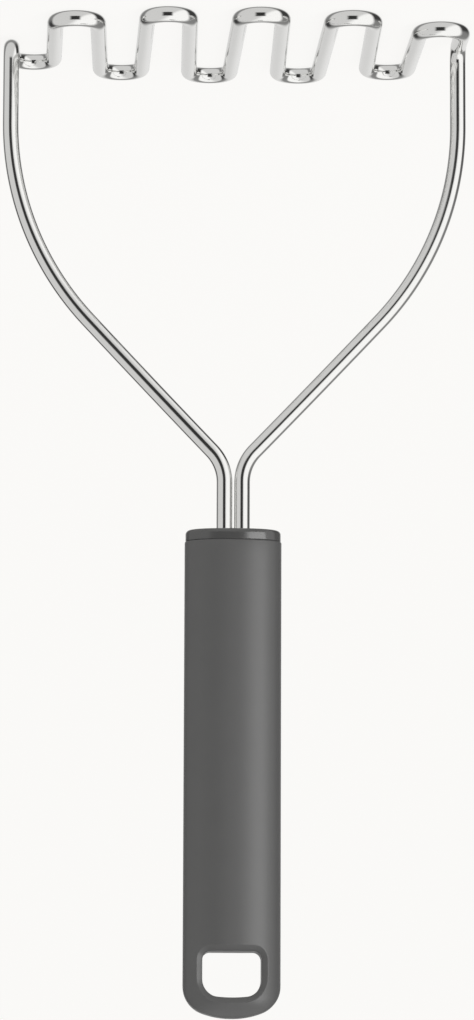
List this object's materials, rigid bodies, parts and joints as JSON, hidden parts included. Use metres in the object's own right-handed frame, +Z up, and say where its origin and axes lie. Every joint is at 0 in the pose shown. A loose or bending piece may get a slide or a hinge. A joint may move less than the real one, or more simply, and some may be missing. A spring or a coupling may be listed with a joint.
{
  "type": "potato masher",
  "caption": "Wire potato masher: one bent steel wire forms a zigzag head and two bowed arms, set in a flat oval plastic handle with a hang hole.",
  "frame": {"origin": "middle of the head's footprint, on the plane that the head rests on", "axes": "+Z up the handle, away from the head; +X along the row of zigzag loops, so that both arms lie in the XZ plane; +Y across the head, along the zigzag's legs"},
  "size_m": [0.123, 0.0724, 0.26],
  "materials": {
    "wire": "polished",
    "collar": "semi-gloss",
    "grip": "satin",
    "core": "matte"
  },
  "bodies": {
    "root": {"masher_wire": "wire", "collar": "collar", "grip_sleeve": "grip", "core_front": "core", "core_rear": "core"}
  },
  "joints": []
}
